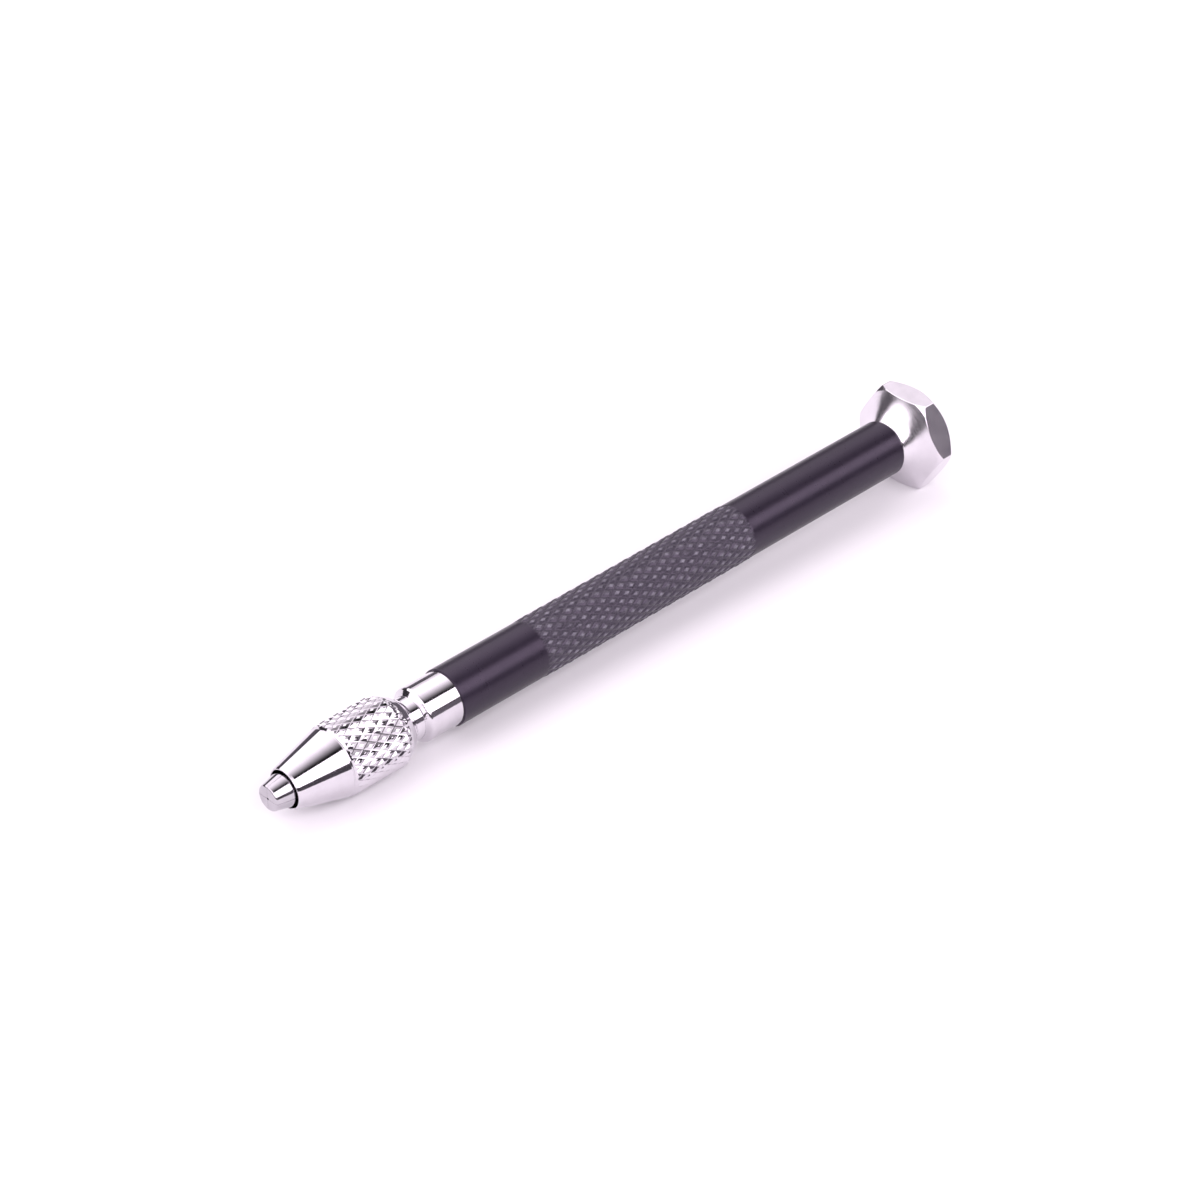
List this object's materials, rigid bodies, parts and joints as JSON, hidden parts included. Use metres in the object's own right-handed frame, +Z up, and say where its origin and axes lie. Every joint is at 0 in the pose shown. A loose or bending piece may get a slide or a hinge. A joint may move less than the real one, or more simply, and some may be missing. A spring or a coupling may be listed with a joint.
{
  "type": "pin vise hand drill",
  "caption": "Slim hand drill: knurled nose nut closes a split collet on fine drill shanks, knurled black tube handle, free-spinning hexagonal end cap.",
  "frame": {"origin": "centre of the collet's mouth, on its front face", "axes": "X is the tool's axis, from the collet mouth to the end cap; +Z is up with a flat of the hexagonal cap facing down"},
  "size_m": [0.1111, 0.0148, 0.013],
  "materials": {
    "polished_steel": "polished, bright plated",
    "collet_steel": "fine ground",
    "black_anodised": "satin black anodised",
    "plain_steel": "turned",
    "brass": "turned"
  },
  "bodies": {
    "handle": {"chuck_spindle": "polished_steel", "front_ferrule": "polished_steel", "handle_tube": "black_anodised", "rear_plug": "brass", "swivel_screw": "plain_steel", "front_washer": "plain_steel", "rear_washer": "plain_steel"},
    "collet": {"collet_sleeve": "collet_steel"},
    "chuck_nut": {"chuck_nut": "polished_steel"},
    "jaw_1": {"collet_jaw_1": "collet_steel"},
    "jaw_2": {"collet_jaw_2": "collet_steel"},
    "jaw_3": {"collet_jaw_3": "collet_steel"},
    "jaw_4": {"collet_jaw_4": "collet_steel"},
    "cap": {"cap_bush": "brass", "hex_cap": "polished_steel", "cap_disc": "polished_steel"}
  },
  "joints": [
    {"name": "collet_draw", "type": "slide", "parent": "handle", "child": "collet", "axis": [-1, 0, 0], "range_m": [0, 0.000666]},
    {"name": "nut_turn", "type": "hinge", "parent": "collet", "child": "chuck_nut", "pos_m": [0.0137, 0, 0], "axis": [-1, 0, 0], "range_deg": [0, 480]},
    {"name": "jaw_1_flex", "type": "hinge", "parent": "collet", "child": "jaw_1", "pos_m": [0.016, 0.00081, 0.00081], "axis": [0, 0.7071, -0.7071], "range_deg": [0, 1.1]},
    {"name": "jaw_2_flex", "type": "hinge", "parent": "collet", "child": "jaw_2", "pos_m": [0.016, -0.00081, 0.00081], "axis": [0, 0.7071, 0.7071], "range_deg": [0, 1.1]},
    {"name": "jaw_3_flex", "type": "hinge", "parent": "collet", "child": "jaw_3", "pos_m": [0.016, -0.00081, -0.00081], "axis": [0, -0.7071, 0.7071], "range_deg": [0, 1.1]},
    {"name": "jaw_4_flex", "type": "hinge", "parent": "collet", "child": "jaw_4", "pos_m": [0.016, 0.00081, -0.00081], "axis": [0, -0.7071, -0.7071], "range_deg": [0, 1.1]},
    {"name": "cap_spin", "type": "hinge", "parent": "handle", "child": "cap", "pos_m": [0.1079, 0, 0], "axis": [1, 0, 0], "continuous": true}
  ],
  "couplings": [
    {"joint": "nut_turn", "follows": "collet_draw", "rad_per_m": 12566},
    {"joint": "jaw_1_flex", "follows": "collet_draw", "rad_per_m": 28.5},
    {"joint": "jaw_2_flex", "follows": "collet_draw", "rad_per_m": 28.5},
    {"joint": "jaw_3_flex", "follows": "collet_draw", "rad_per_m": 28.5},
    {"joint": "jaw_4_flex", "follows": "collet_draw", "rad_per_m": 28.5}
  ]
}
